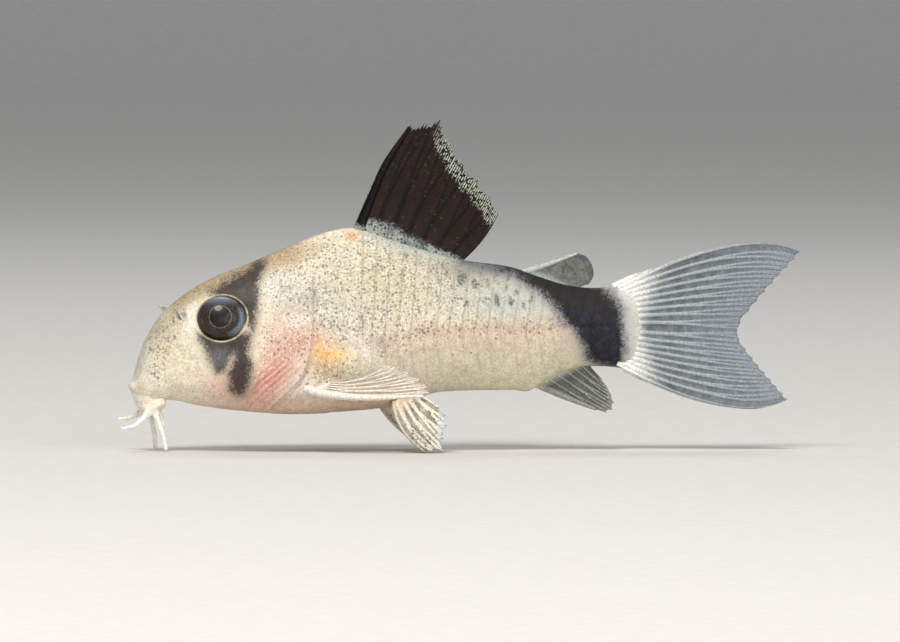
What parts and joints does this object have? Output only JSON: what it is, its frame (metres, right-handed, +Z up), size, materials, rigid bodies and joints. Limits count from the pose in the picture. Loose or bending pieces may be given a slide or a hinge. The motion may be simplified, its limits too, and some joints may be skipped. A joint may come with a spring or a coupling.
{
  "type": "corydoras catfish",
  "caption": "Life-size model of a small armoured catfish with barbels, bony plates and dark eye and tail patches, resting on its pelvic fins and barbels",
  "frame": {"origin": "on the floor, under the middle of the fish's bounding box", "axes": "+X from head to tail, along the fish; +Y to the fish's right; +Z up"},
  "size_m": [0.0512, 0.0144, 0.0243],
  "materials": {
    "pale_skin": "moist cream skin over bony plates, satin",
    "black_skin": "moist blue-black skin over bony plates, satin",
    "clear_fin": "thin see-through fin membrane with pale rays",
    "dark_fin": "black-brown fin membrane and rays, satin",
    "barbel_skin": "soft white skin, satin",
    "eye": "black iris under a clear wet cornea"
  },
  "bodies": {
    "root": {"head": "pale_skin", "trunk": "pale_skin", "tail": "black_skin", "dorsal_fin": "dark_fin", "adipose_fin": "clear_fin", "caudal_fin": "clear_fin", "anal_fin": "clear_fin", "eye_left": "eye", "eye_right": "eye", "pectoral_fin_left": "clear_fin", "pectoral_fin_right": "clear_fin", "pelvic_fin_left": "clear_fin", "pelvic_fin_right": "clear_fin", "outer_barbel_left": "barbel_skin", "outer_barbel_right": "barbel_skin", "inner_barbel_left": "barbel_skin", "inner_barbel_right": "barbel_skin"}
  },
  "joints": []
}
